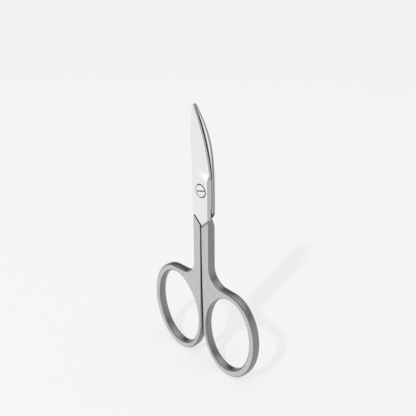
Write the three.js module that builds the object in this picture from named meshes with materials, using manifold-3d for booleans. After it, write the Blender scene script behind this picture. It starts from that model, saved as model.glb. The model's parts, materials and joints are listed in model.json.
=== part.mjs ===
// Nail scissors: two crossed forgings that turn on a slotted screw, with blades curved towards the front.
// Millimetres. The scissors stand on their finger rings: +Z runs up to the blade tips, +X to the right ring,
// and -Y to the side of the screw head. Closed at rest.

import * as THREE from 'three';
import { mergeVertices } from 'three/addons/utils/BufferGeometryUtils.js';
import Module from 'manifold-3d';

const wasm = await Module();
wasm.setup();

// Overall
const handleLength = 65.3; // ring bottoms to the pivot axis
const bladeLength = 29.2; // pivot axis to the blade tips
const stockThickness = 3.0; // handles, front face to back face
const runningGap = 0.1; // between the two halves where they cross

// Finger rings: ovals that lean outwards at the top
const fingerHoleWidth = 19.6;
const fingerHoleLength = 27.7;
const ringInnerBar = 1.85; // next to the other ring
const ringOuterBar = 2.65;
const ringTopBar = 2.35;
const ringBottomBar = 2.6;
const ringLeanDegrees = 5.8;
const ringGap = 0.5; // between the closed rings
const ringEdge = 0.75; // rounding along the rings' edges
const footEdge = 0.3; // rounding under the rings, where the scissors stand
const footHeight = 6.0; // over which it grows to the rings' rounding

// Shanks
const shankHalfWidth = 3.45; // axis to a shank's outer edge
const shankGap = 0.8; // widest gap between the closed shanks
const shankNeckGap = 0.5; // gap between the shanks below the joint
const shankCrotchRadius = 5.75; // inside curve from shank to ring
const shankEdge = 0.35; // rounding along the shanks' edges

// Joint: flat plates that cross, with a V of shoulders below them
const shoulderDrop = 12.0; // pivot axis to the point of the V
const shoulderRise = 0.93; // height of the V's sides for each millimetre of width
const shoulderGap = 0.2; // between a plate's lower edge and the shoulder below it
const shoulderCornerRadius = 0.65; // a shoulder's outer corner
const rampLength = 2.4; // slope at the back of the right shank's shoulder
const rampDepth = 0.7;
const plateInset = 0.2; // plates' outer faces, below the handles' faces
const plateSpineSide = 3.9; // axis to a plate's side below its spine
const plateSeamSide = 3.9; // axis to a plate's inner face below its cutting edge
const plateFaceSide = 3.25; // axis to its outer face there, so that this side leans in
const plateLand = 0.3; // upright part of that side, next to the seam
const seamTaperStart = 1.5; // distance below the pivot axis where that side begins to draw in to the shank
const seamTaperEnd = 6.5;
const frontCornerWidth = 0.95; // curve that leads from the V to the front plate's spine side
const frontCornerHeight = 4.8; // top of that curve above the point of the V
const backCornerWidth = 1.7;
const backCornerHeight = 5.4;

// Blades
const bendRadius = 97; // forward curve of both blades
const bendStart = 3.8; // distance from the pivot axis where the curve begins
const spineTaperStart = 12.0; // distance from the pivot axis where the spine turns in
const spineTaperPower = 2.1;
const edgeTaperStart = 4.3; // distance from the pivot axis where the cutting edge turns in
const edgeTaperPower = 1.23;
const tipHalfWidth = 0.2;
const tipSpineThickness = 0.5;
const thinningPower = 1.2; // above 1 the spine thins more slowly near the joint
const grindStart = 3.0; // distance from the pivot axis where the grind begins at the cutting edge
const grindSlant = 9.0; // how much higher it begins at the spine
const grindSlantPower = 2.3; // above 1 its lower end curves up from the cutting edge
const grindRunOut = 4.0; // length over which the plate thins into the ground blade
const edgeThickness = 0.55; // ground blade beside its cutting bevel
const tipEdgeThickness = 0.4;
const grindCrown = 1.6; // above 1 the ground face is crowned
const bevelWidth = 0.45; // cutting bevel
const bevelMostShare = 0.25; // of the blade's width, where the blade gets narrow
const bevelLand = 0.08; // thickness left at the cutting edge

// Pivot screw
const headDiameter = 4.3;
const headLand = 0.45; // straight side of the head
const headCone = 0.45; // cone under the head
const headDome = 0.1;
const shoulderDiameter = 2.6;
const threadDiameter = 2.2;
const screwClearance = 0.06;
const slotWidth = 0.5;
const slotDepth = 0.4;
const slotAngleDegrees = 19.6;

// Fineness of the round shapes
const ringSteps = 48;
const cornerSteps = 6;
const crotchSteps = 9;
const edgeSteps = 3;
const plateSteps = 4;
const bladeSteps = 18;
const tipSteps = 4;
const acrossSteps = 7;
const screwSteps = 48;
const domeSteps = 2;

const plateThickness = (stockThickness - runningGap) / 2 - plateInset;
const jointThickness = stockThickness - 2 * plateInset;
const shoulderHeight = handleLength - shoulderDrop;
const polished = new THREE.MeshStandardMaterial({ color: 0xd8d8d8, roughness: 0.22, metalness: 1 });
const satin = new THREE.MeshStandardMaterial({ color: 0xb4b4b4, roughness: 0.4, metalness: 1 });

function solidFrom(geometry) {
  const bare = geometry.clone();
  bare.deleteAttribute('normal');
  bare.deleteAttribute('uv');
  const merged = mergeVertices(bare, 1e-5);
  const vertProperties = new Float32Array(merged.attributes.position.array);
  const triVerts = new Uint32Array(merged.index.array);
  return new wasm.Manifold(new wasm.Mesh({ numProp: 3, vertProperties, triVerts }));
}

function meshFrom(solid, name, material) {
  const { vertProperties, triVerts } = solid.getMesh();
  const geometry = new THREE.BufferGeometry();
  geometry.setAttribute('position', new THREE.BufferAttribute(vertProperties, 3));
  geometry.setIndex(new THREE.BufferAttribute(triVerts, 1));
  geometry.computeVertexNormals();
  const mesh = new THREE.Mesh(geometry, material);
  mesh.name = name;
  return mesh;
}

// Height of a shank's shoulder, which rises from the V's point to the outer edge
function shoulderAt(x) {
  return shoulderHeight - shoulderGap * Math.hypot(1, shoulderRise) + x * shoulderRise;
}

// The right ring's oval
const ringLean = THREE.MathUtils.degToRad(-ringLeanDegrees);
const ringHalfWidth = (fingerHoleWidth + ringInnerBar + ringOuterBar) / 2;
const ringHalfLength = (fingerHoleLength + ringTopBar + ringBottomBar) / 2;
const ringReachX = Math.hypot(ringHalfWidth * Math.cos(ringLean), ringHalfLength * Math.sin(ringLean));
const ringReachZ = Math.hypot(ringHalfWidth * Math.sin(ringLean), ringHalfLength * Math.cos(ringLean));
const ringCentreX = ringGap / 2 + ringReachX;
const ringTop = 2 * ringReachZ;

// The right handle's outline and finger hole in the plane of the rings, each with the steel on its left
function handleLoops() {
  const topAngle = Math.atan2(ringHalfLength * Math.cos(ringLean), ringHalfWidth * Math.sin(ringLean));
  const innerAngle = Math.atan2(-ringHalfLength * Math.sin(ringLean), ringHalfWidth * Math.cos(ringLean));
  const outer = new THREE.EllipseCurve(
    ringCentreX, ringReachZ, ringHalfWidth, ringHalfLength, topAngle, innerAngle - Math.PI, true, ringLean,
  );
  const hole = new THREE.EllipseCurve(
    ringCentreX - (ringOuterBar - ringInnerBar) / 2, ringReachZ + (ringBottomBar - ringTopBar) / 2,
    fingerHoleWidth / 2, fingerHoleLength / 2, 0, 2 * Math.PI, true, ringLean,
  );
  const crotch = new THREE.EllipseCurve(
    shankHalfWidth + shankCrotchRadius, ringTop + shankCrotchRadius,
    shankCrotchRadius, shankCrotchRadius, Math.PI, 1.5 * Math.PI, false, 0,
  );
  const neck = shankNeckGap / 2;
  const cornerX = shankHalfWidth - shoulderCornerRadius;
  const cornerZ = shoulderAt(cornerX) - shoulderCornerRadius * Math.hypot(1, shoulderRise);
  const corner = new THREE.EllipseCurve(
    cornerX, cornerZ, shoulderCornerRadius, shoulderCornerRadius,
    Math.PI / 2 + Math.atan(shoulderRise), 0, true, 0,
  );
  const outline = [
    new THREE.Vector2(neck, shoulderAt(neck)),
    ...corner.getPoints(cornerSteps),
    ...crotch.getPoints(crotchSteps),
    ...outer.getPoints(ringSteps),
    new THREE.Vector2(shankGap / 2, ringTop),
  ];
  return [outline.reverse(), hole.getPoints(ringSteps).slice(0, -1)];
}

// Rounding at a point of a handle's outline: full on the ring, smaller along the shank and under the ring
function edgeRadius(point) {
  const outward = THREE.MathUtils.smoothstep(point.x, shankHalfWidth, ringCentreX);
  const downward = 1 - THREE.MathUtils.smoothstep(point.y, ringReachZ, ringTop);
  const full = THREE.MathUtils.lerp(shankEdge, ringEdge, Math.max(outward, downward));
  return THREE.MathUtils.lerp(footEdge, full, THREE.MathUtils.smoothstep(point.y, 0, footHeight));
}

// Where each corner of a loop goes when its walls move into the steel by one millimetre
function insetWays(loop) {
  return loop.map((point, index) => {
    const before = loop[(index + loop.length - 1) % loop.length];
    const after = loop[(index + 1) % loop.length];
    const first = new THREE.Vector2(before.y - point.y, point.x - before.x).normalize();
    const second = new THREE.Vector2(point.y - after.y, after.x - point.x).normalize();
    return first.clone().add(second).divideScalar(1 + first.dot(second));
  });
}

// The ring and shank at full thickness: layers from the front face to the back face, with rounded edges
function handleSolid(side) {
  const layers = 2 * edgeSteps + 2;
  const positions = [];
  const faces = [];
  const rims = handleLoops().map((loop) => {
    const ways = insetWays(loop);
    const count = loop.length;
    const first = positions.length / 3;
    for (let layer = 0; layer < layers; layer += 1) {
      const fromFace = Math.min(layer, layers - 1 - layer);
      const angle = (Math.PI / 2) * (1 - fromFace / edgeSteps);
      const facing = layer > edgeSteps ? side : -side;
      loop.forEach((point, index) => {
        const radius = edgeRadius(point);
        const inset = point.clone().addScaledVector(ways[index], radius * (1 - Math.cos(angle)));
        const depth = stockThickness / 2 - radius * (1 - Math.sin(angle));
        positions.push(side * inset.x, facing * depth, inset.y);
      });
    }
    for (let layer = 0; layer < layers - 1; layer += 1) {
      for (let index = 0; index < count; index += 1) {
        const a = first + layer * count + index;
        const b = first + layer * count + ((index + 1) % count);
        faces.push(a, a + count, b + count, a, b + count, b);
      }
    }
    const inner = loop.map((point, index) => point.clone().addScaledVector(ways[index], edgeRadius(point)));
    const front = inner.map((point, index) => first + index);
    const back = front.map((index) => index + (layers - 1) * count);
    return { inner, front, back };
  });
  const [outline, hole] = rims;
  const flat = [...outline.inner, ...hole.inner];
  const front = [...outline.front, ...hole.front];
  const back = [...outline.back, ...hole.back];
  THREE.ShapeUtils.triangulateShape([...outline.inner], [[...hole.inner]]).forEach(([i, j, k]) => {
    const turn = flat[j].clone().sub(flat[i]).cross(flat[k].clone().sub(flat[i]));
    const [a, b, c] = turn > 0 ? [i, j, k] : [i, k, j];
    faces.push(front[a], front[b], front[c], back[a], back[c], back[b]);
  });
  const geometry = new THREE.BufferGeometry();
  geometry.setAttribute('position', new THREE.Float32BufferAttribute(positions, 3));
  geometry.setIndex(faces);
  return solidFrom(geometry);
}

// The slope cut from the back of the right shank's shoulder
function rampSolid() {
  const back = stockThickness / 2;
  const top = shoulderAt(shankHalfWidth);
  const slope = rampLength / rampDepth;
  const section = new THREE.Shape([
    new THREE.Vector2(back - rampDepth, top),
    new THREE.Vector2(back + rampDepth, top - 2 * rampLength),
    new THREE.Vector2(back + rampDepth, top + slope),
    new THREE.Vector2(back - rampDepth, top + slope),
  ]);
  const geometry = new THREE.ExtrudeGeometry(section, { depth: 2 * shankHalfWidth, bevelEnabled: false });
  geometry.rotateX(Math.PI / 2);
  geometry.rotateZ(Math.PI / 2);
  return solidFrom(geometry);
}

// How far the crossing faces lie in front of the joint's middle plane. Beyond the bend they turn about the
// pivot axis, so that the blades slide on each other at every opening.
function bend(x, rise) {
  if (rise <= 0) return 0;
  const beyond = Math.max(0, Math.hypot(x, rise) - bendStart);
  return bendRadius - Math.sqrt(bendRadius ** 2 - beyond ** 2);
}

function roundEnd(rise) {
  const into = Math.max(0, rise - (bladeLength - tipHalfWidth)) / tipHalfWidth;
  return tipHalfWidth * Math.sqrt(Math.max(0, 1 - into ** 2));
}

function taper(rise, start, power) {
  const along = THREE.MathUtils.clamp((rise - start) / (bladeLength - start), 0, 1);
  return 1 - along ** power;
}

const spineAt = (rise) =>
  (plateSpineSide - tipHalfWidth) * taper(rise, spineTaperStart, spineTaperPower) + roundEnd(rise);
const seamTaper = (rise) =>
  (plateSeamSide - shankHalfWidth) * THREE.MathUtils.smoothstep(-rise, seamTaperStart, seamTaperEnd);
const edgeAt = (rise) =>
  (plateSeamSide - tipHalfWidth) * taper(rise, edgeTaperStart, edgeTaperPower)
  + roundEnd(rise) - seamTaper(rise);

// Thickness of a plate or blade at a share of its width, 0 at the spine and 1 at the cutting edge
function thicknessAt(share, rise) {
  const along = THREE.MathUtils.clamp(rise / bladeLength, 0, 1);
  const spine = THREE.MathUtils.lerp(plateThickness, tipSpineThickness, along ** thinningPower);
  const edge = THREE.MathUtils.lerp(edgeThickness, tipEdgeThickness, along);
  const ground = THREE.MathUtils.lerp(spine, edge, share ** grindCrown);
  const start = grindStart + grindSlant * (1 - share) ** grindSlantPower;
  return THREE.MathUtils.lerp(spine, ground, THREE.MathUtils.smoothstep(rise, start, start + grindRunOut));
}

// The joint plate and blade of one half, as sections across the width from below the V up to the tip
function bladeSolid(side) {
  const cornerWidth = side > 0 ? frontCornerWidth : backCornerWidth;
  const cornerEnd = -shoulderDrop + (side > 0 ? frontCornerHeight : backCornerHeight);
  const cornerX = plateSpineSide - cornerWidth;
  const cornerStart = -shoulderDrop + cornerX * shoulderRise;
  const corner = new THREE.QuadraticBezierCurve(
    new THREE.Vector2(-cornerX, cornerStart),
    new THREE.Vector2(-plateSpineSide, cornerStart + cornerWidth * shoulderRise),
    new THREE.Vector2(-plateSpineSide, cornerEnd),
  );
  const neck = shankNeckGap / 2 + shankEdge;
  const left = [
    new THREE.Vector2(neck, -shoulderDrop - neck * shoulderRise - shankEdge),
    new THREE.Vector2(neck, -shoulderDrop - neck * shoulderRise),
    ...corner.getPoints(cornerSteps),
  ];
  for (let step = 1; step <= plateSteps; step += 1) {
    left.push(new THREE.Vector2(-plateSpineSide, THREE.MathUtils.lerp(cornerEnd, 0, step / plateSteps)));
  }
  const tipStart = bladeLength - tipHalfWidth;
  for (let step = 0; step <= bladeSteps; step += 1) {
    const rise = THREE.MathUtils.lerp(grindStart, tipStart, step / bladeSteps);
    left.push(new THREE.Vector2(-spineAt(rise), rise));
  }
  for (let step = 1; step < tipSteps; step += 1) {
    const rise = tipStart + tipHalfWidth * Math.sin((step / tipSteps) * (Math.PI / 2));
    left.push(new THREE.Vector2(-spineAt(rise), rise));
  }

  const positions = [];
  const place = (x, depth, rise) => {
    const y = -bend(x, rise) - side * (runningGap / 2 + depth);
    positions.push(side * x, y, handleLength + rise);
  };
  for (const { x: spineX, y: rise } of left) {
    const edgeX = edgeAt(rise);
    const cut = THREE.MathUtils.smoothstep(rise, grindStart, grindStart + grindRunOut);
    const bevel = Math.min(bevelWidth, bevelMostShare * (edgeX - spineX));
    const faceX = THREE.MathUtils.lerp(plateFaceSide, edgeX - bevel, cut);
    for (let step = 0; step <= acrossSteps; step += 1) {
      place(THREE.MathUtils.lerp(edgeX, spineX, step / acrossSteps), 0, rise);
    }
    for (let step = 0; step <= acrossSteps; step += 1) {
      const share = step / acrossSteps;
      place(THREE.MathUtils.lerp(spineX, faceX, share), thicknessAt(share, rise), rise);
    }
    place(edgeX, THREE.MathUtils.lerp(plateLand, bevelLand, cut), rise);
  }

  const around = 2 * (acrossSteps + 1) + 1;
  const faces = [];
  for (let section = 0; section < left.length - 1; section += 1) {
    for (let step = 0; step < around; step += 1) {
      const a = section * around + step;
      const b = section * around + ((step + 1) % around);
      faces.push(a, b, a + around, b, b + around, a + around);
    }
  }
  const last = (left.length - 1) * around;
  const opposite = 2 * acrossSteps + 1;
  for (let step = 0; step < acrossSteps; step += 1) {
    const [a, b, c, d] = [step, step + 1, opposite - step - 1, opposite - step];
    faces.push(a, c, b, a, d, c);
    faces.push(last + a, last + b, last + c, last + a, last + c, last + d);
  }
  faces.push(0, opposite + 1, opposite);
  faces.push(last, last + opposite, last + opposite + 1);
  const geometry = new THREE.BufferGeometry();
  geometry.setAttribute('position', new THREE.Float32BufferAttribute(positions, 3));
  geometry.setIndex(faces);
  return solidFrom(geometry);
}

// A round solid on the pivot axis from points of radius and depth behind the front plate's face
function turned(profile) {
  const points = profile.map(([radius, depth]) => new THREE.Vector2(radius, depth));
  const geometry = new THREE.LatheGeometry(points, screwSteps);
  geometry.translate(0, -jointThickness / 2, handleLength);
  return solidFrom(geometry);
}

const headRadius = headDiameter / 2;
const shoulderRadius = shoulderDiameter / 2;
const threadRadius = threadDiameter / 2;
const headDepth = headLand + headCone;
const backPlateDepth = jointThickness - plateThickness;

function screwSolid() {
  const dome = [];
  for (let step = 0; step <= domeSteps; step += 1) {
    const share = step / domeSteps;
    dome.push([headRadius * share, -headDome * (1 - share ** 2)]);
  }
  const body = turned([
    ...dome,
    [headRadius, headLand],
    [shoulderRadius, headDepth],
    [shoulderRadius, backPlateDepth - screwClearance],
    [threadRadius, backPlateDepth - screwClearance],
    [threadRadius, jointThickness],
    [0, jointThickness],
  ]);
  const slot = new THREE.BoxGeometry(headDiameter + slotWidth, 2 * slotDepth, slotWidth);
  slot.rotateY(THREE.MathUtils.degToRad(-slotAngleDegrees));
  slot.translate(0, -jointThickness / 2, handleLength);
  return body.subtract(solidFrom(slot));
}

// The countersunk bore of the front half, open at both faces
function headBore() {
  const past = stockThickness;
  return turned([
    [0, -past],
    [headRadius + screwClearance, -past],
    [headRadius + screwClearance, headLand + screwClearance],
    [shoulderRadius + screwClearance, headDepth + screwClearance],
    [shoulderRadius + screwClearance, past],
    [0, past],
  ]);
}

// The tapped bore of the back half, without its thread
function threadBore() {
  const past = 2 * stockThickness;
  return turned([
    [0, -stockThickness],
    [threadRadius + screwClearance, -stockThickness],
    [threadRadius + screwClearance, past],
    [0, past],
  ]);
}

const frontHalf = handleSolid(1).subtract(rampSolid()).add(bladeSolid(1)).subtract(headBore());
const backHalf = handleSolid(-1).add(bladeSolid(-1)).subtract(threadBore());

const scissors = new THREE.Group();
scissors.add(meshFrom(frontHalf, 'front_half', satin));
scissors.add(meshFrom(backHalf, 'back_half', satin));
scissors.add(meshFrom(screwSolid(), 'pivot_screw', polished));

// The origin is under the middle of the part, on the surface that it stands on
const box = new THREE.Box3().setFromObject(scissors);
const middle = box.getCenter(new THREE.Vector3());
scissors.position.set(-middle.x, -middle.y, -box.min.z);

export default scissors;
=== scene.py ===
import json
import math

import bmesh
import bpy
from mathutils import Matrix, Vector
from mathutils.geometry import tessellate_polygon


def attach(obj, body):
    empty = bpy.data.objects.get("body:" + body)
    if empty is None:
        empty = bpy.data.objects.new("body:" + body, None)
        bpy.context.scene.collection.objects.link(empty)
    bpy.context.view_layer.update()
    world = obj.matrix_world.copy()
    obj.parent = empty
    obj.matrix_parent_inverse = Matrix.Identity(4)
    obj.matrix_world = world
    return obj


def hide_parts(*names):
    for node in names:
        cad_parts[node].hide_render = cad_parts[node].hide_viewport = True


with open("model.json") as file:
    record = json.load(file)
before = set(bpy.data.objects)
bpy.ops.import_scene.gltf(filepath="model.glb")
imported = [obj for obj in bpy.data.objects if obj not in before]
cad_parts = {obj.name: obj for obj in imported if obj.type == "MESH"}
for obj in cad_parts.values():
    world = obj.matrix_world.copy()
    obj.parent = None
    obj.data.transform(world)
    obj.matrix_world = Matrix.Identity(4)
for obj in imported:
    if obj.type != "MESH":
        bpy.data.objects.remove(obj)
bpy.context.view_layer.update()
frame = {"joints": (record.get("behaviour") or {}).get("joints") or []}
pivot = Vector(frame["joints"][0]["pos_m"])  # on the screw's axis, midway between the front and back faces
mm = 0.001

# Nail scissors, closed and standing on their rings. Sizes are in millimetres. Shapes are drawn from the
# pivot: x to the right ring, y to the back, rise up to the tips.


def inPlace(point):
    return pivot + Vector(point) * mm


def clamp(value, low=0.0, high=1.0):
    return max(low, min(high, value))


def blend(a, b, share):
    return a + (b - a) * share


def smooth(value, low, high):
    t = clamp((value - low) / (high - low))
    return t * t * (3 - 2 * t)


def arc(centre, radii, start, end, steps, lean=0.0):
    points = []
    for i in range(steps + 1):
        angle = blend(start, end, i / steps)
        point = Vector((radii[0] * math.cos(angle), radii[1] * math.sin(angle)))
        points.append(Vector(centre) + Matrix.Rotation(lean, 2) @ point)
    return points


def bezier(a, b, c, steps):
    shares = [i / steps for i in range(steps + 1)]
    return [a * (1 - t) ** 2 + b * 2 * t * (1 - t) + c * t * t for t in shares]


def newObject(name, data):
    thing = bpy.data.objects.new(name, data)
    bpy.context.scene.collection.objects.link(thing)
    return thing


# Finishes


def addNode(tree, kind, **settings):
    node = tree.nodes.new(kind)
    for name, value in settings.items():
        setattr(node, name, value)
    return node


def feed(tree, socket, value):
    if isinstance(value, bpy.types.NodeSocket):
        tree.links.new(value, socket)
    else:
        socket.default_value = value


def maths(tree, kind, operation, *values):
    node = addNode(tree, kind, operation=operation)
    for socket, value in zip(node.inputs, values):
        feed(tree, socket, value)
    return node.outputs[0]


def number(tree, operation, *values):
    return maths(tree, "ShaderNodeMath", operation, *values)


def ranged(tree, value, low, high, toLow=0.0, toHigh=1.0):
    node = addNode(tree, "ShaderNodeMapRange", interpolation_type="SMOOTHSTEP")
    for socket, part in zip(node.inputs, (value, low, high, toLow, toHigh)):
        feed(tree, socket, part)
    return node.outputs[0]


def mixed(tree, share, a, b, kind="FLOAT"):
    node = addNode(tree, "ShaderNodeMix", data_type=kind)
    first = {"FLOAT": 2, "RGBA": 6}[kind]
    feed(tree, node.inputs[0], share)
    feed(tree, node.inputs[first], a)
    feed(tree, node.inputs[first + 1], b)
    return node.outputs[{"FLOAT": 0, "RGBA": 2}[kind]]


def newGroup(name, inputs, outputs):
    tree = bpy.data.node_groups.new(name, "ShaderNodeTree")
    for label, kind, value in inputs:
        tree.interface.new_socket(label, in_out="INPUT", socket_type=kind).default_value = value
    for label, kind in outputs:
        tree.interface.new_socket(label, in_out="OUTPUT", socket_type=kind)
    return tree, tree.nodes.new("NodeGroupInput").outputs, tree.nodes.new("NodeGroupOutput").inputs


# Streaks left by a belt or wheel, drawn out by a different scale along each axis
def makeGrain():
    tree, given, out = newGroup(
        "grindingGrain",
        [("Scale", "NodeSocketVector", (1.0, 1.0, 1.0)), ("Contrast", "NodeSocketFloat", 1.0)],
        [("Streak", "NodeSocketFloat"), ("Height", "NodeSocketFloat")],
    )
    place = tree.nodes.new("ShaderNodeTexCoord").outputs["Object"]
    stretched = maths(tree, "ShaderNodeVectorMath", "MULTIPLY", place, given["Scale"])
    noise = addNode(tree, "ShaderNodeTexNoise")
    feed(tree, noise.inputs["Vector"], stretched)
    noise.inputs["Scale"].default_value = 1.0
    noise.inputs["Detail"].default_value = 4.0
    noise.inputs["Roughness"].default_value = 0.62
    centred = number(tree, "SUBTRACT", noise.outputs[0], 0.5)
    streak = number(tree, "MULTIPLY_ADD", centred, given["Contrast"], 0.5)
    feed(tree, out["Streak"], streak)
    feed(tree, out["Height"], noise.outputs[0])
    return tree


# Tells the broad front and back faces, the walls between them and the rounded edges apart, by which way the
# surface faces; the colours set on them paint shade on the walls
def makeFacingShade():
    tree, given, out = newGroup(
        "facingShadeAndEdges",
        [("Wall Until", "NodeSocketFloat", 0.35), ("Face From", "NodeSocketFloat", 0.9)],
        [("Face", "NodeSocketFloat"), ("Edge", "NodeSocketFloat")],
    )
    normal = tree.nodes.new("ShaderNodeTexCoord").outputs["Normal"]
    parts = tree.nodes.new("ShaderNodeSeparateXYZ")
    feed(tree, parts.inputs[0], normal)
    turned = number(tree, "ABSOLUTE", parts.outputs["Y"])
    face = ranged(tree, turned, given["Wall Until"], given["Face From"])
    feed(tree, out["Face"], face)
    both = number(tree, "MULTIPLY", face, number(tree, "SUBTRACT", 1.0, face))
    feed(tree, out["Edge"], number(tree, "MULTIPLY", both, 4.0))  # 1 halfway from wall to face
    return tree


# A few stray hairlines from use
def makeHairlines():
    tree, given, out = newGroup(
        "hairlines",
        [("Scale", "NodeSocketVector", (1.0, 1.0, 1.0)), ("Turn", "NodeSocketFloat", 0.0)],
        [("Line", "NodeSocketFloat")],
    )
    place = tree.nodes.new("ShaderNodeTexCoord").outputs["Object"]
    turn = addNode(tree, "ShaderNodeVectorRotate", rotation_type="Y_AXIS")
    feed(tree, turn.inputs["Vector"], place)
    feed(tree, turn.inputs["Angle"], given["Turn"])
    stretched = maths(tree, "ShaderNodeVectorMath", "MULTIPLY", turn.outputs[0], given["Scale"])
    noise = addNode(tree, "ShaderNodeTexNoise")
    feed(tree, noise.inputs["Vector"], stretched)
    noise.inputs["Scale"].default_value = 1.0
    noise.inputs["Detail"].default_value = 1.0
    away = number(tree, "ABSOLUTE", number(tree, "SUBTRACT", noise.outputs[0], 0.5))
    core, fade = 0.004, 0.012
    feed(tree, out["Line"], ranged(tree, away, core, fade, 1.0, 0.0))
    return tree


grainGroup = makeGrain()
facingShadeGroup = makeFacingShade()
hairlineGroup = makeHairlines()


def placeGroup(tree, group, **values):
    node = addNode(tree, "ShaderNodeGroup", node_tree=group)
    for name, value in values.items():
        feed(tree, node.inputs[name], value)
    return node.outputs


def grey(value):
    return (value, value, value * 1.005, 1.0)  # a trace cooler than neutral


# Colours for the broad faces, the walls and the rounded edges: the walls are painted darker than the faces,
# painted shade by which way they face
satinFinish = {
    "face": 0.62, "wall": 0.268, "edge": 0.5, "wallUntil": 0.85, "faceFrom": 0.985,
    "faceRoughness": 0.38, "wallRoughness": 0.38, "edgeRoughness": 0.3,
    "grain": (2800.0, 2800.0, 1800.0), "grainContrast": 0.9,
    "cloud": (260.0, 260.0, 140.0), "cloudContrast": 0.22,
    "hairline": (2600.0, 2600.0, 160.0), "hairlineTurn": 0.5,
    "bump": 0.0000025,
}
polishFinish = {
    "face": 0.895, "wall": 0.55, "edge": 0.7, "wallUntil": 0.8, "faceFrom": 0.96,
    "faceRoughness": 0.2, "wallRoughness": 0.28, "edgeRoughness": 0.22,
    "grain": (700.0, 5000.0, 14000.0), "grainContrast": 0.3,
    "cloud": (180.0, 180.0, 120.0), "cloudContrast": 0.1,
    "hairline": (3000.0, 3000.0, 220.0), "hairlineTurn": -0.7,
    "bump": 0.0000008,
}
# The blades' spines and bevels, ground but hardly polished, with their walls painted darker still as painted
# shade
spineFinish = dict(polishFinish, wall=0.34, edge=0.25, wallRoughness=0.34)
bevelFinish = dict(polishFinish, wall=0.43, edge=0.6)
# The step down to the joint plate along the V, painted dark: painted shade in the crease
stepShadeFinish = dict(satinFinish, face=0.33, wall=0.26, edge=0.36, faceRoughness=0.45)
# Painted shade in the narrow corners of the joint, which lie in shade
cornerShadeFinish = dict(satinFinish, face=0.2, wall=0.14, edge=0.18, faceRoughness=0.5, wallRoughness=0.55)
screwFinish = {
    "face": 0.9, "wall": 0.42, "edge": 0.7, "wallUntil": 0.5, "faceFrom": 0.95,
    "faceRoughness": 0.17, "wallRoughness": 0.32, "edgeRoughness": 0.22,
    "grain": (9000.0, 9000.0, 900.0), "grainContrast": 0.35,
    "cloud": (400.0, 400.0, 400.0), "cloudContrast": 0.12,
    "hairline": (4000.0, 4000.0, 400.0), "hairlineTurn": 1.1,
    "bump": 0.0000008,
}
# The countersink round the screw head, its walls painted lighter than the polished walls: a painted
# highlight
sinkHighlightFinish = dict(polishFinish, wall=0.62, edge=0.7)
# Bores, the groove round the screw head, its slot and the seam strips of the blades, painted near black:
# painted shade in the recesses
recessShadeFinish = dict(screwFinish, face=0.12, wall=0.07, edge=0.1, faceRoughness=0.45, wallRoughness=0.5)
hairlineRoughness, hairlineDepth = 0.06, 0.6


def steel(name, finish):
    material = bpy.data.materials.new(name)
    material.use_nodes = True
    tree = material.node_tree
    shader = tree.nodes["Principled BSDF"]
    shader.inputs["Metallic"].default_value = 1.0
    limits = {"Wall Until": finish["wallUntil"], "Face From": finish["faceFrom"]}
    faces = placeGroup(tree, facingShadeGroup, **limits)
    grain = placeGroup(tree, grainGroup, Scale=finish["grain"], Contrast=finish["grainContrast"])
    cloud = placeGroup(tree, grainGroup, Scale=finish["cloud"], Contrast=finish["cloudContrast"])
    lines = placeGroup(tree, hairlineGroup, Scale=finish["hairline"], Turn=finish["hairlineTurn"])
    # Painted shade: the walls take a darker colour than the broad faces, and the edges take a tone between
    # them or of their own
    colour = mixed(tree, faces["Face"], grey(finish["wall"]), grey(finish["face"]), "RGBA")
    colour = mixed(tree, faces["Edge"], colour, grey(finish["edge"]), "RGBA")
    shade = number(tree, "MULTIPLY", number(tree, "ADD", grain["Streak"], 0.5),
                   number(tree, "ADD", cloud["Streak"], 0.5))
    shaded = addNode(tree, "ShaderNodeVectorMath", operation="SCALE")
    feed(tree, shaded.inputs[0], colour)
    feed(tree, shaded.inputs["Scale"], shade)
    feed(tree, shader.inputs["Base Color"], shaded.outputs[0])
    rough = mixed(tree, faces["Face"], finish["wallRoughness"], finish["faceRoughness"])
    rough = mixed(tree, faces["Edge"], rough, finish["edgeRoughness"])
    rough = number(tree, "MULTIPLY", rough, number(tree, "ADD", grain["Streak"], 0.5))
    rough = number(tree, "MULTIPLY_ADD", lines["Line"], hairlineRoughness, rough)
    feed(tree, shader.inputs["Roughness"], rough)
    bump = tree.nodes.new("ShaderNodeBump")
    bump.inputs["Strength"].default_value = 1.0
    bump.inputs["Distance"].default_value = finish["bump"]
    height = number(tree, "MULTIPLY_ADD", lines["Line"], -hairlineDepth, grain["Height"])
    feed(tree, bump.inputs["Height"], height)
    feed(tree, shader.inputs["Normal"], bump.outputs["Normal"])
    return material


satinSteel = steel("satinSteel", satinFinish)
polishedSteel = steel("polishedSteel", polishFinish)
spineSteel = steel("spineSteel", spineFinish)
bevelSteel = steel("bevelSteel", bevelFinish)
stepShadeSteel = steel("stepShadeSteel", stepShadeFinish)
cornerShadeSteel = steel("cornerShadeSteel", cornerShadeFinish)
screwSteel = steel("screwSteel", screwFinish)
sinkHighlightSteel = steel("sinkHighlightSteel", sinkHighlightFinish)
recessShadeSteel = steel("recessShadeSteel", recessShadeFinish)
print("finishes made")


# Meshes and cuts


def meshObject(name, points, faces, material):
    mesh = bpy.data.meshes.new(name)
    mesh.from_pydata([inPlace(p) for p in points], [], faces)
    mesh.materials.append(material)
    return newObject(name, mesh)


# The evaluated shape takes the place of the mesh and its modifiers
def settle(piece):
    bpy.context.view_layer.update()
    shape = bpy.data.meshes.new_from_object(piece.evaluated_get(bpy.context.evaluated_depsgraph_get()))
    piece.modifiers.clear()
    piece.data = shape


def combine(piece, tool, operation):
    cut = piece.modifiers.new("cut", "BOOLEAN")
    cut.operation = operation
    cut.solver = "EXACT"
    cut.material_mode = "TRANSFER"
    cut.object = tool
    settle(piece)
    bpy.data.objects.remove(tool)


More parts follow.
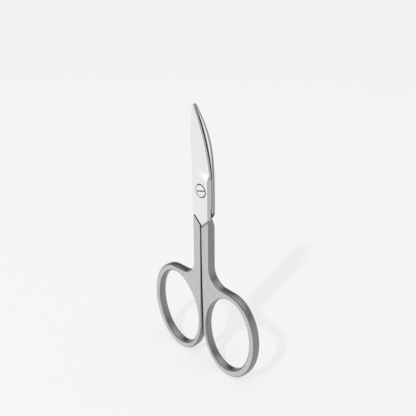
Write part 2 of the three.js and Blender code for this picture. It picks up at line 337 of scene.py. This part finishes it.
# Flat faces stay flat and the rounded edges run into them
def shadeEdges(piece, sharpAbove=28):
    piece.data.shade_smooth()
    piece.data.set_sharp_from_angle(angle=math.radians(sharpAbove))
    weighted = piece.modifiers.new("weighted", "WEIGHTED_NORMAL")
    weighted.keep_sharp = True
    weighted.weight = 80
    settle(piece)


# Handles: finger ring and shank of one half, drawn for the right ring

handle = {
    "reach": 65.3, "stock": 3.0, "ringEdge": 0.88, "shankEdge": 0.14, "neckEdge": 0.12,
    "holeWidth": 19.6, "holeLength": 27.7,
    "innerBar": 1.85, "outerBar": 2.65, "topBar": 2.35, "bottomBar": 2.6,
    "lean": 5.8, "ringGap": 0.5,
    "shankSide": 3.45, "shankGap": 0.8, "neckGap": 0.5, "crotch": 5.75,
    "shoulderDrop": 12.0, "shoulderRise": 0.93, "shoulderGap": 0.26, "shoulderCorner": 0.25,
    "rampLength": 3.2, "rampDepth": 1.0,
    "easeLength": 0.85, "easeDepth": 0.26, "easeCuts": 3, "easeSpacing": 0.28, "easeSlope": 0.45,
    "neckBlend": (-1.5, -0.3), "gapBlend": (0.5, 1.5), "gapFrom": 3.0, "vTolerance": 0.01,
    "ringSteps": 150, "edgeSteps": 5, "shoulderSteps": 10, "crotchSteps": 24,
}


def shoulderAt(x):
    h = handle
    return -h["shoulderDrop"] - h["shoulderGap"] * math.hypot(1, h["shoulderRise"]) + x * h["shoulderRise"]


# The finger ring's middle, half width and half length, lean and top
def ringPlace():
    h = handle
    lean = math.radians(-h["lean"])
    wide = (h["holeWidth"] + h["innerBar"] + h["outerBar"]) / 2
    tall = (h["holeLength"] + h["topBar"] + h["bottomBar"]) / 2
    reachX = math.hypot(wide * math.cos(lean), tall * math.sin(lean))
    reachZ = math.hypot(wide * math.sin(lean), tall * math.cos(lean))
    middle = Vector((h["ringGap"] / 2 + reachX, reachZ - h["reach"]))
    return {"middle": middle, "radii": (wide, tall), "lean": lean, "top": middle.y + reachZ}


def handleLoops():
    h, ring = handle, ringPlace()
    middle, lean, ringTop = ring["middle"], ring["lean"], ring["top"]
    wide, tall = ring["radii"]
    top = math.atan2(tall * math.cos(lean), wide * math.sin(lean))
    inner = math.atan2(-tall * math.sin(lean), wide * math.cos(lean)) - math.pi
    corner, crotch = h["shoulderCorner"], h["crotch"]
    cornerX = h["shankSide"] - corner
    cornerRise = shoulderAt(cornerX) - corner * math.hypot(1, h["shoulderRise"])
    leanOver = math.pi / 2 + math.atan(h["shoulderRise"])
    neck = h["neckGap"] / 2
    outline = [Vector((neck, shoulderAt(neck)))]
    outline += arc((cornerX, cornerRise), (corner, corner), leanOver, 0, h["shoulderSteps"])
    crotchMiddle = (h["shankSide"] + crotch, ringTop + crotch)
    outline += arc(crotchMiddle, (crotch, crotch), math.pi, 1.5 * math.pi, h["crotchSteps"])
    outline += arc(middle, (wide, tall), top, inner, h["ringSteps"], lean)
    outline.append(Vector((h["shankGap"] / 2, ringTop)))
    holeMiddle = middle + Vector((h["innerBar"] - h["outerBar"], h["bottomBar"] - h["topBar"])) / 2
    holeRadii = (h["holeWidth"] / 2, h["holeLength"] / 2)
    hole = arc(holeMiddle, holeRadii, 0, 2 * math.pi, h["ringSteps"], lean)[:-1]
    return [outline, hole]


# The rings are well rounded, the shanks less, and the V at the joint and the shanks' gap are almost sharp
def edgeAround(point):
    h, ring = handle, ringPlace()
    middle, ringTop = ring["middle"], ring["top"]
    ringShare = max(smooth(point.x, h["shankSide"], middle.x), 1 - smooth(point.y, middle.y, ringTop))
    neckShare = smooth(point.y - shoulderAt(point.x), *h["neckBlend"])
    gapShare = (1 - smooth(point.x, *h["gapBlend"])) * smooth(point.y, middle.y + h["gapFrom"], ringTop)
    return blend(blend(h["shankEdge"], h["ringEdge"], ringShare), h["neckEdge"], max(neckShare, gapShare))


# The straight of the shoulder, which faces the other half's plate across a narrow gap
def inTheV(a, b):
    return all(abs(p.y - shoulderAt(p.x)) < handle["vTolerance"] for p in (a, b))


# Where each corner of a loop goes when its walls move in by one millimetre; the loop's left side is solid
def insetWays(loop):
    ways = []
    for i, point in enumerate(loop):
        before = (point - loop[i - 1]).normalized()
        after = (loop[(i + 1) % len(loop)] - point).normalized()
        first, second = Vector((-before.y, before.x)), Vector((-after.y, after.x))
        ways.append((first + second) / (1 + first.dot(second)))
    return ways


def handleHalf(name, side):
    h = handle
    loops = [loop[::-1] for loop in handleLoops()]  # turned round, both have the solid on their left
    half, steps = h["stock"] / 2, h["edgeSteps"]
    angles = [math.pi / 2 * i / steps for i in range(steps, -1, -1)]
    layers = [(angle, -1) for angle in angles] + [(angle, 1) for angle in reversed(angles)]
    points, faces, caps = [], [], {0: [], len(layers) - 1: []}
    shadedInV = []
    for loop in loops:
        ways, first, count = insetWays(loop), len(points), len(loop)
        edges = [edgeAround(p) for p in loop]
        for level, (angle, depthWay) in enumerate(layers):
            ring = [p + way * edge * (1 - math.cos(angle)) for p, way, edge in zip(loop, ways, edges)]
            depths = [depthWay * (half - edge * (1 - math.sin(angle))) for edge in edges]
            if level in caps:
                caps[level].append((len(points), ring))
            points += [(side * p.x, side * y, p.y) for p, y in zip(ring, depths)]
        for level in range(len(layers) - 1):
            for i in range(count):
                a, b = first + level * count + i, first + level * count + (i + 1) % count
                if steps - 1 <= level <= steps + 1 and inTheV(loop[i], loop[(i + 1) % count]):
                    shadedInV.append(len(faces))
                faces.append((a, b, b + count, a + count))
    for rings in caps.values():
        index = [start + i for start, ring in rings for i in range(len(ring))]
        flat = [[p.to_3d() for p in ring] for _, ring in rings]
        faces += [tuple(index[i] for i in corner) for corner in tessellate_polygon(flat)]
    piece = meshObject(name, points, faces, satinSteel)
    coats = piece.data.materials
    coats.append(stepShadeSteel)
    coats.append(cornerShadeSteel)
    # The faces in the V take the dark corner colour: painted shade in the narrow gap
    for i in shadedInV:
        piece.data.polygons[i].material_index = coats.find(cornerShadeSteel.name)
    slices = [easeCut(side, i) for i in range(h["easeCuts"])]
    if side > 0:
        slices.append(rampCut())
    trim(piece, slices)
    return piece


# The forging's own face eases down to the joint plate along the V, in a few slices, whose new faces are
# painted dark: painted shade in the crease
def easeCut(side, i):
    h = handle
    share = (i + 1) / h["easeCuts"]
    along = Vector((1, 0, h["shoulderRise"])).normalized()
    down = Vector((h["shoulderRise"], 0, -1)).normalized()
    start = Vector((0, -h["stock"] / 2, shoulderAt(0))) + down * h["easeLength"] * (1 - h["easeSpacing"] * i)
    slope = -down + Vector((0, h["easeDepth"] / h["easeLength"] * (h["easeSlope"] + share), 0))
    normal = slope.cross(along).normalized()
    if normal.y > 0:
        normal = -normal
    turn = Vector((side, side, 1))
    return start * turn, normal * turn, stepShadeSteel


# The slope behind the right shank's shoulder
def rampCut():
    h = handle
    top = Vector((0, h["stock"] / 2 - h["rampDepth"], shoulderAt(h["shankSide"])))
    return top, Vector((0, h["rampLength"], h["rampDepth"])).normalized(), satinSteel


# Turns the faces outwards, then cuts slices off and coats the new faces
def trim(piece, slices):
    work = bmesh.new()
    work.from_mesh(piece.data)
    bmesh.ops.recalc_face_normals(work, faces=work.faces)
    for point, normal, material in slices:
        everything = work.verts[:] + work.edges[:] + work.faces[:]
        cut = bmesh.ops.bisect_plane(
            work, geom=everything, dist=1e-9, plane_co=inPlace(point), plane_no=normal, clear_outer=True
        )
        rim = [item for item in cut["geom_cut"] if isinstance(item, bmesh.types.BMEdge)]
        for face in bmesh.ops.holes_fill(work, edges=rim)["faces"]:
            face.material_index = piece.data.materials.find(material.name)
    work.to_mesh(piece.data)
    work.free()


# Blades: joint plate and blade of one half, as sections across the width

blade = {
    "length": 29.2, "seamGap": 0.1, "plate": 1.25,
    "spineSide": 3.9, "seamSide": 3.9, "footSide": 3.43, "faceSide": 3.15, "land": 0.3,
    "seamTaper": (3.5, 9.0),
    "corner": {1: (0.95, 4.8), -1: (1.2, 5.4)},
    "spineTaper": (12.0, 2.1), "edgeTaper": (4.3, 1.23),
    "tipHalf": 0.2, "tipSpine": 0.5, "thinning": 1.6,
    "grindStart": 3.9, "grindSlant": 8.6, "grindCurve": 2.3, "grindRunOut": 2.5,
    "edgeThick": 0.6, "tipEdgeThick": 0.42, "crown": 1.4,
    "bevel": 0.42, "bevelShare": 0.22, "bevelLand": 0.04, "bevelDelay": 1.0, "bevelRunOut": 4.5,
    "bendRadius": 97.0, "bendStart": 3.8,
    "spineRound": 0.28, "faceRound": 0.14, "seamRound": 0.1, "jointRound": 0.22, "edgeRound": 0.03,
    "hollow": 0.08, "hollowFrom": (3.0, 10.0), "hollowUntil": (23.0, 28.8),
    "slimBelow": 3.0, "jointRoundUntil": (3.0, 8.0), "cornerShare": 0.45,
    "footSteps": 14, "cornerSteps": 14, "plateSteps": 14, "bladeSteps": 90, "tipSteps": 6,
    "acrossSteps": 26, "innerSteps": 6, "roundSteps": 4,
}
# Strips of a blade half that take another finish, between two rises: the ground spine and bevel, and the
# seam and the narrow corners at the foot, painted dark as shade
belowFoot, plungeRise, aboveTip = -13.0, 4.6, 30.0
bladeCoats = [
    ("spine", -7.0, aboveTip, spineSteel),
    ("bevel", plungeRise, aboveTip, bevelSteel),
    ("faceEdge", -9.0, plungeRise, spineSteel),
    ("seam", belowFoot, 7.0, recessShadeSteel),
    ("spine", belowFoot, -7.0, cornerShadeSteel),
    ("innerSpine", belowFoot, -7.0, cornerShadeSteel),
]


def taper(rise, start, power):
    along = clamp((rise - start) / (blade["length"] - start))
    return 1 - along ** power


def roundEnd(rise):
    tip = blade["tipHalf"]
    into = max(0.0, rise - (blade["length"] - tip)) / tip
    return tip * math.sqrt(max(0.0, 1 - into * into))


def spineAt(rise):
    return (blade["spineSide"] - blade["tipHalf"]) * taper(rise, *blade["spineTaper"]) + roundEnd(rise)


def edgeAt(rise):
    b = blade
    drawnIn = (b["seamSide"] - b["footSide"]) * smooth(-rise, *b["seamTaper"])
    return (b["seamSide"] - b["tipHalf"]) * taper(rise, *b["edgeTaper"]) + roundEnd(rise) - drawnIn


# share is 0 at the spine and 1 at the cutting edge
def thicknessAt(share, rise):
    b = blade
    along = clamp(rise / b["length"])
    spine = blend(b["plate"], b["tipSpine"], along ** b["thinning"])
    edge = blend(b["edgeThick"], b["tipEdgeThick"], along)
    ground = blend(spine, edge, share ** b["crown"])
    start = b["grindStart"] + b["grindSlant"] * (1 - share) ** b["grindCurve"]
    return blend(spine, ground, smooth(rise, start, start + b["grindRunOut"]))


# The spine side from the foot of the V up to the tip
def spineLine(side):
    b, h = blade, handle
    width, height = b["corner"][side]
    low = -h["shoulderDrop"]
    cornerX = b["spineSide"] - width
    cornerStart = low + cornerX * h["shoulderRise"]
    neck = h["neckGap"] / 2 + h["shankEdge"]
    foot = Vector((neck, low - neck * h["shoulderRise"]))
    start = Vector((-cornerX, cornerStart))
    turn = Vector((-b["spineSide"], cornerStart + width * h["shoulderRise"]))
    end = Vector((-b["spineSide"], low + height))
    line = [foot - Vector((0, h["shankEdge"]))]
    line += [foot.lerp(start, i / b["footSteps"]) for i in range(b["footSteps"])]
    line += bezier(start, turn, end, b["cornerSteps"])
    rises = [blend(end.y, 0, (i + 1) / b["plateSteps"]) for i in range(b["plateSteps"])]
    line += [Vector((-b["spineSide"], rise)) for rise in rises]
    tipStart = b["length"] - b["tipHalf"]
    rises = [tipStart * (i + 1) / b["bladeSteps"] for i in range(b["bladeSteps"])]
    angles = [math.pi / 2 * i / b["tipSteps"] for i in range(1, b["tipSteps"])]
    rises += [tipStart + b["tipHalf"] * math.sin(angle) for angle in angles]
    return line + [Vector((-spineAt(rise), rise)) for rise in rises]


def softCorner(before, point, after, reach):
    def stepTowards(other):
        way = other - point
        return point + way.normalized() * min(reach, blade["cornerShare"] * way.length)

    return bezier(stepTowards(before), point, stepTowards(after), blade["roundSteps"])


# One section as x and depth: the inner face to the spine, the outer face back, then down the cutting side.
# Each name stands for the strips that end at its points.
def section(spineX, rise):
    b = blade
    edgeX = edgeAt(rise)
    width = edgeX - spineX
    bevelStart = b["grindStart"] + b["bevelDelay"]
    cut = smooth(rise, bevelStart, bevelStart + b["bevelRunOut"])
    faceX = blend(b["faceSide"], edgeX - min(b["bevel"], b["bevelShare"] * width), cut)
    halfGap = b["seamGap"] / 2
    hollow = b["hollow"] * smooth(rise, *b["hollowFrom"]) * (1 - smooth(rise, *b["hollowUntil"]))
    seam = halfGap + hollow
    slim = min(1.0, width / b["slimBelow"])
    softSpine = b["spineRound"] * slim
    softFace = b["faceRound"] * slim
    softSeam = b["seamRound"] * slim
    softInner = blend(b["jointRound"], softSeam, smooth(rise, *b["jointRoundUntil"]))
    softEdge = blend(softSeam, b["edgeRound"] * slim, cut)

    def outer(share):
        return Vector((blend(spineX, faceX, share), halfGap + thicknessAt(share, rise)))

    spineIn, spineOut = Vector((spineX, seam)), outer(0)
    faceEdge = outer(1)
    land = Vector((edgeX, seam + blend(b["land"], b["bevelLand"], cut)))
    edgeIn = Vector((edgeX, seam))
    first, last = softSpine / (faceX - spineX), 1 - softFace / (faceX - spineX)
    return {
        "inner": [edgeIn.lerp(spineIn, i / b["innerSteps"]) for i in range(1, b["innerSteps"])],
        "innerSpine": softCorner(edgeIn, spineIn, spineOut, softInner),
        "spine": softCorner(spineIn, spineOut, outer(first), softSpine),
        "face": [outer(blend(first, last, i / b["acrossSteps"])) for i in range(1, b["acrossSteps"])],
        "faceEdge": softCorner(outer(last), faceEdge, land, softFace),
        "bevel": softCorner(faceEdge, land, edgeIn, softEdge),
        "seam": softCorner(land, edgeIn, spineIn, softEdge),
    }


def newShapeTree(name, inputs, output):
    tree = bpy.data.node_groups.new(name, "GeometryNodeTree")
    for label, kind in inputs:
        tree.interface.new_socket(label, in_out="INPUT", socket_type="NodeSocket" + kind)
    tree.interface.new_socket(output, in_out="OUTPUT", socket_type="NodeSocketGeometry")
    return tree, tree.nodes.new("NodeGroupInput").outputs


def finishTree(tree, geometry, material):
    real = tree.nodes.new("GeometryNodeRealizeInstances")
    coated = tree.nodes.new("GeometryNodeSetMaterial")
    feed(tree, real.inputs["Geometry"], geometry)
    feed(tree, coated.inputs["Geometry"], real.outputs[0])
    feed(tree, coated.inputs["Material"], material)
    feed(tree, tree.nodes.new("NodeGroupOutput").inputs[0], coated.outputs[0])


def runTree(piece, tree, **values):
    modifier = piece.modifiers.new(tree.name, "NODES")
    modifier.node_group = tree
    for item in tree.interface.items_tree:
        key = item.name.replace(" ", "")
        if item.in_out == "INPUT" and key in values:
            modifier[item.identifier] = values[key]
    settle(piece)


# Curves the blades to the front beyond the joint: they follow a circle seen from the side
def makeBend():
    tree, given = newShapeTree(
        "bentBlade",
        [("Blade", "Geometry"), ("Pivot", "Vector"), ("Bend Radius", "Float"), ("Bend Start", "Float"),
         ("Finish", "Material")],
        "Bent",
    )
    place = tree.nodes.new("GeometryNodeInputPosition").outputs[0]
    parts = tree.nodes.new("ShaderNodeSeparateXYZ")
    feed(tree, parts.inputs[0], maths(tree, "ShaderNodeVectorMath", "SUBTRACT", place, given["Pivot"]))
    across, rise = parts.outputs["X"], parts.outputs["Z"]
    square = number(tree, "MULTIPLY_ADD", rise, rise, number(tree, "MULTIPLY", across, across))
    past = number(tree, "SUBTRACT", number(tree, "SQRT", square), given["Bend Start"])
    above = number(tree, "GREATER_THAN", rise, 0.0)
    past = number(tree, "MULTIPLY", number(tree, "MAXIMUM", past, 0.0), above)
    radius = given["Bend Radius"]
    radiusSquare = number(tree, "MULTIPLY", radius, radius)
    left = number(tree, "SUBTRACT", radiusSquare, number(tree, "MULTIPLY", past, past))
    shift = tree.nodes.new("ShaderNodeCombineXYZ")
    feed(tree, shift.inputs["Y"], number(tree, "SUBTRACT", number(tree, "SQRT", left), radius))
    moved = tree.nodes.new("GeometryNodeSetPosition")
    feed(tree, moved.inputs["Geometry"], given["Blade"])
    feed(tree, moved.inputs["Offset"], shift.outputs[0])
    finishTree(tree, moved.outputs[0], given["Finish"])
    return tree


bendTree = makeBend()


def bladeHalf(name, side):
    b = blade
    points, faces = [], []
    for place in spineLine(side):
        strips = section(place.x, place.y)
        points += [(side * p.x, -side * p.y, place.y) for part in strips.values() for p in part]
    names = [strip for strip, part in strips.items() for p in part]
    count = len(names)
    for first in range(0, len(points) - count, count):
        for i in range(count):
            j = (i + 1) % count
            faces.append((first + i, first + j, first + count + j, first + count + i))
    faces.append(tuple(range(count)))
    faces.append(tuple(range(len(points) - 1, len(points) - count - 1, -1)))
    piece = meshObject(name, points, faces, polishedSteel)
    trim(piece, [])  # nothing to cut, only faces to turn outwards
    runTree(piece, bendTree, Pivot=pivot, BendRadius=b["bendRadius"] * mm, BendStart=b["bendStart"] * mm,
            Finish=polishedSteel)
    for strip, low, high, material in bladeCoats:
        refinish(
            piece, material,
            lambda face, place: names[(face.index + 1) % count] == strip and low < place.z < high,
        )
    return piece


# Gives another finish to the faces that pass a test on the face and on its middle, from the pivot
def refinish(piece, material, test):
    coats = piece.data.materials
    if material.name not in coats:
        coats.append(material)
    for face in piece.data.polygons:
        if test(face, (face.center - pivot) / mm):
            face.material_index = coats.find(material.name)


# Pivot screw, and the bores it sits in, turned from profiles of radius and depth behind the front plate

screw = {
    "joint": 2.6, "head": 2.0, "headLand": 0.45, "headCone": 0.45, "dome": 0.1, "rim": 0.08,
    "shoulder": 1.3, "thread": 1.1, "backPlate": 1.35, "end": 0.12,
    "clearance": 0.13, "countersink": 0.26, "boreRim": 0.16,
    "slotWidth": 0.38, "slotDepth": 0.4, "slotTurn": 17.0,
    "boreFrom": -3.0, "headBoreTo": 3.0, "threadBoreTo": 5.0,
    "steps": 96, "domeSteps": 8, "rimSteps": 6,
}


# Turns a profile round the screw's axis, with or without a slot across its front
def makeTurning():
    tree, given = newShapeTree(
        "turnedProfile",
        [("Profile", "Geometry"), ("Steps", "Int"), ("Front", "Vector"), ("Slotted", "Bool"),
         ("Slot Size", "Vector"), ("Slot Turn", "Vector"), ("Finish", "Material")],
        "Turned",
    )
    profile = tree.nodes.new("GeometryNodeMeshToCurve")
    feed(tree, profile.inputs["Mesh"], given["Profile"])
    circle = addNode(tree, "GeometryNodeCurvePrimitiveCircle", mode="RADIUS")
    feed(tree, circle.inputs["Resolution"], given["Steps"])
    circle.inputs["Radius"].default_value = 0.000001  # next to nothing, so the profile keeps its own radius
    upright = addNode(tree, "GeometryNodeSetCurveNormal", mode="Z_UP")
    feed(tree, upright.inputs["Curve"], circle.outputs[0])
    swept = tree.nodes.new("GeometryNodeCurveToMesh")
    feed(tree, swept.inputs["Curve"], upright.outputs[0])
    feed(tree, swept.inputs["Profile Curve"], profile.outputs[0])
    joined = tree.nodes.new("GeometryNodeMergeByDistance")
    feed(tree, joined.inputs["Geometry"], swept.outputs[0])
    joined.inputs["Distance"].default_value = 0.000005
    placed = tree.nodes.new("GeometryNodeTransform")
    feed(tree, placed.inputs["Geometry"], joined.outputs[0])
    feed(tree, placed.inputs["Translation"], given["Front"])
    placed.inputs["Rotation"].default_value = (math.pi / 2, 0, 0)
    block = tree.nodes.new("GeometryNodeMeshCube")
    feed(tree, block.inputs["Size"], given["Slot Size"])
    turned = tree.nodes.new("GeometryNodeTransform")
    feed(tree, turned.inputs["Geometry"], block.outputs[0])
    feed(tree, turned.inputs["Translation"], given["Front"])
    feed(tree, turned.inputs["Rotation"], given["Slot Turn"])
    slotted = addNode(tree, "GeometryNodeMeshBoolean", operation="DIFFERENCE", solver="EXACT")
    feed(tree, slotted.inputs["Mesh 1"], placed.outputs[0])
    feed(tree, slotted.inputs["Mesh 2"], turned.outputs[0])
    choice = addNode(tree, "GeometryNodeSwitch", input_type="GEOMETRY")
    feed(tree, choice.inputs["Switch"], given["Slotted"])
    feed(tree, choice.inputs["False"], placed.outputs[0])
    feed(tree, choice.inputs["True"], slotted.outputs[0])
    finishTree(tree, choice.outputs[0], given["Finish"])
    return tree


turningTree = makeTurning()


def turnedPiece(name, profile, material, slotted=False):
    s = screw
    mesh = bpy.data.meshes.new(name)
    lines = [(i, i + 1) for i in range(len(profile) - 1)]
    mesh.from_pydata([(radius * mm, depth * mm, 0) for radius, depth in profile], lines, [])
    piece = newObject(name, mesh)
    slotSize = Vector((2 * s["head"] + s["slotWidth"], 2 * s["slotDepth"], s["slotWidth"])) * mm
    runTree(piece, turningTree, Steps=s["steps"], Front=inPlace((0, -s["joint"] / 2, 0)), Slotted=slotted,
            SlotSize=slotSize, SlotTurn=(0, math.radians(-s["slotTurn"]), 0), Finish=material)
    return piece


def screwProfile():
    s = screw
    rim, flat, steps = s["rim"], s["head"] - s["rim"], s["domeSteps"]
    profile = [(flat * i / steps, -s["dome"] * (1 - (i / steps) ** 2)) for i in range(steps)]
    profile += [(p.x, -p.y) for p in arc((flat, -rim), (rim, rim), math.pi / 2, 0, s["rimSteps"])]
    profile += [(s["head"], s["headLand"]), (s["shoulder"], s["headLand"] + s["headCone"])]
    step = s["backPlate"] - s["clearance"]
    profile += [(s["shoulder"], step), (s["thread"], step)]
    end = s["thread"] - s["end"]
    profile += [(s["thread"], s["joint"] - s["end"]), (end, s["joint"])]
    return profile + [(0, s["joint"])]


def headBoreProfile():
    s = screw
    gap, sink = s["clearance"], s["countersink"]
    wide, narrow = s["head"] + gap, s["shoulder"] + gap
    profile = [(0, s["boreFrom"]), (wide + sink, s["boreFrom"]), (wide + sink, 0), (wide, sink)]
    profile += [(wide, s["headLand"] + gap), (narrow, s["headLand"] + s["headCone"] + gap)]
    return profile + [(narrow, s["headBoreTo"]), (0, s["headBoreTo"])]


def threadBoreProfile():
    s = screw
    wide, rim = s["thread"] + s["clearance"], s["boreRim"]
    profile = [(0, 0), (wide, 0), (wide, s["joint"] - rim), (wide + rim, s["joint"])]
    return profile + [(wide + rim, s["threadBoreTo"]), (0, s["threadBoreTo"])]


# Pieces


def depthOf(place):
    return place.y + screw["joint"] / 2


frontHalf = handleHalf("front_half_forging", 1)
combine(frontHalf, bladeHalf("front_blade", 1), "UNION")
# The bores leave their dark colour on the faces they cut: painted shade in the recesses
headBore = turnedPiece("head_bore", headBoreProfile(), recessShadeSteel)
# The countersink takes the lighter wall colour: a painted highlight
refinish(headBore, sinkHighlightSteel, lambda face, place: 0 < depthOf(place) < screw["countersink"])
combine(frontHalf, headBore, "DIFFERENCE")
shadeEdges(frontHalf)
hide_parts("front_half")
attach(frontHalf, "front_side")
print("front half", len(frontHalf.data.polygons))

backHalf = handleHalf("back_half_forging", -1)
combine(backHalf, bladeHalf("back_blade", -1), "UNION")
# The thread bore leaves its dark colour on the faces it cuts: painted shade in the recess
combine(backHalf, turnedPiece("thread_bore", threadBoreProfile(), recessShadeSteel), "DIFFERENCE")
shadeEdges(backHalf)
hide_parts("back_half")
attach(backHalf, "back_side")
print("back half", len(backHalf.data.polygons))

pivotScrew = turnedPiece("pivot_screw_turned", screwProfile(), screwSteel, True)
grooveFrom = screw["rim"] / 3  # the rest of the rim stays bright
# The groove round the head and the slot are painted near black: painted shade in the recesses
refinish(pivotScrew, recessShadeSteel, lambda face, place: grooveFrom < depthOf(place) < screw["headLand"])
shadeEdges(pivotScrew)
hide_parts("pivot_screw")
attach(pivotScrew, "back_side")
print("screw", len(pivotScrew.data.polygons))


# Stage

stage = {
    "floor": 0.86, "floorRoughness": 0.9, "floorSize": 40.0, "floorShown": 0.895, "shownShare": 0.75,
    "horizon": 0.855, "bandLeft": 0.06, "bandRight": 0.33, "overhead": 1.2,
    "bandAcross": (-0.7, 0.7), "bandFrom": 0.2, "bandFull": 0.4, "bandUntil": 0.53, "overheadFrom": 0.9,
    "flagWay": (-0.727, 0.686, 0.0), "flagSide": (0.88, 0.98),
    "flagFoot": (0.04, 0.16), "flagTop": (0.46, 0.6),
    "keyPlace": (0.62, -2.0, 2.09), "keyAim": (0.0, 0.0, 0.03),
    "keySize": 0.16, "keyPower": 3.5, "keySpread": 60.0,
    "cardPlace": (-0.2, -0.19, 0.1), "cardAim": (0.0, 0.0, 0.07), "cardSize": 0.3, "cardPower": 0.055,
}


def makeFloor():
    half = stage["floorSize"] / 2
    mesh = bpy.data.meshes.new("floor")
    corners = [(-half, -half, 0), (half, -half, 0), (half, half, 0), (-half, half, 0)]
    mesh.from_pydata(corners, [], [(0, 1, 2, 3)])
    material = bpy.data.materials.new("paleFloor")
    material.use_nodes = True
    tree = material.node_tree
    shader = tree.nodes["Principled BSDF"]
    shader.inputs["Base Color"].default_value = grey(stage["floor"])
    shader.inputs["Roughness"].default_value = stage["floorRoughness"]
    shader.inputs["Specular IOR Level"].default_value = 0.0
    rays = tree.nodes.new("ShaderNodeLightPath").outputs
    seen = number(tree, "MAXIMUM", rays["Is Camera Ray"], rays["Is Glossy Ray"])
    seen = number(tree, "MAXIMUM", seen, rays["Is Transmission Ray"])
    shown = tree.nodes.new("ShaderNodeEmission")
    shown.inputs["Color"].default_value = grey(stage["floorShown"])
    both = tree.nodes.new("ShaderNodeMixShader")
    feed(tree, both.inputs[0], number(tree, "MULTIPLY", seen, stage["shownShare"]))
    feed(tree, both.inputs[1], shader.outputs[0])
    feed(tree, both.inputs[2], shown.outputs[0])
    feed(tree, tree.nodes["Material Output"].inputs["Surface"], both.outputs[0])
    mesh.materials.append(material)
    return newObject("floor", mesh)


def makeWorld():
    world = bpy.data.worlds.new("softStudio")
    world.use_nodes = True
    tree = world.node_tree
    parts = tree.nodes.new("ShaderNodeSeparateXYZ")
    way = tree.nodes.new("ShaderNodeTexCoord").outputs["Generated"]
    feed(tree, parts.inputs[0], way)
    g, up = stage, parts.outputs["Z"]
    band = ranged(tree, parts.outputs["X"], *g["bandAcross"], g["bandLeft"], g["bandRight"])
    low = ranged(tree, up, g["bandFrom"], g["bandFull"], g["horizon"], band)
    level = number(tree, "ADD", low, ranged(tree, up, g["bandUntil"], g["overheadFrom"], 0.0, g["overhead"]))
    # A black flag behind the scissors, which the walls that face up mirror
    flatWay = maths(tree, "ShaderNodeVectorMath", "MULTIPLY", way, (1.0, 1.0, 0.0))
    compass = maths(tree, "ShaderNodeVectorMath", "NORMALIZE", flatWay)
    facing = addNode(tree, "ShaderNodeVectorMath", operation="DOT_PRODUCT")
    feed(tree, facing.inputs[0], compass)
    facing.inputs[1].default_value = g["flagWay"]
    behind = ranged(tree, facing.outputs["Value"], *g["flagSide"])
    flag = number(tree, "MULTIPLY", behind, ranged(tree, up, *g["flagFoot"]))
    flag = number(tree, "MULTIPLY", flag, ranged(tree, up, *g["flagTop"], 1.0, 0.0))
    level = number(tree, "MULTIPLY", level, number(tree, "SUBTRACT", 1.0, flag))
    background = tree.nodes["Background"]
    background.inputs["Color"].default_value = (1.0, 1.0, 1.0, 1.0)
    feed(tree, background.inputs["Strength"], level)
    bpy.context.scene.world = world


def makeLamp(name, place, target, size, power):
    data = bpy.data.lights.new(name, "AREA")
    data.shape = "DISK"
    data.size = size
    data.energy = power
    lamp = newObject(name, data)
    lamp.location = place
    lamp.rotation_euler = (Vector(target) - Vector(place)).to_track_quat("-Z", "Y").to_euler()
    return lamp


floor = makeFloor()
makeWorld()
keyLamp = makeLamp("keyLamp", stage["keyPlace"], stage["keyAim"], stage["keySize"], stage["keyPower"])
keyLamp.visible_glossy = False
keyLamp.data.spread = math.radians(stage["keySpread"])  # kept off the floor below the lamp
card = makeLamp("whiteCard", stage["cardPlace"], stage["cardAim"], stage["cardSize"], stage["cardPower"])
card.visible_camera = False

# Camera, where the photograph was taken from

shot = {
    "azimuth": 46.7042, "elevation": 26.3466, "roll": -0.5555,
    "place": (162.88, -150.373, 169.044), "lens": 67.43, "sensor": 36.0, "clipStart": 0.01,
}


def makeCamera():
    a, e, roll = (math.radians(shot[key]) for key in ("azimuth", "elevation", "roll"))
    right = Vector((math.cos(a), math.sin(a), 0))
    up = Vector((-math.sin(a) * math.sin(e), math.cos(a) * math.sin(e), math.cos(e)))
    back = Vector((math.sin(a) * math.cos(e), -math.cos(a) * math.cos(e), math.sin(e)))
    across = right * math.cos(roll) + up * math.sin(roll)
    upright = up * math.cos(roll) - right * math.sin(roll)
    data = bpy.data.cameras.new("camera")
    data.lens = shot["lens"]
    data.sensor_width = shot["sensor"]
    data.clip_start = shot["clipStart"]
    camera = newObject("camera", data)
    turn = Matrix((across, upright, back)).transposed().to_4x4()
    camera.matrix_world = Matrix.Translation(Vector(shot["place"]) * mm) @ turn
    bpy.context.scene.camera = camera


makeCamera()
bpy.context.scene.view_settings.view_transform = "Standard"
print("stage and camera set")
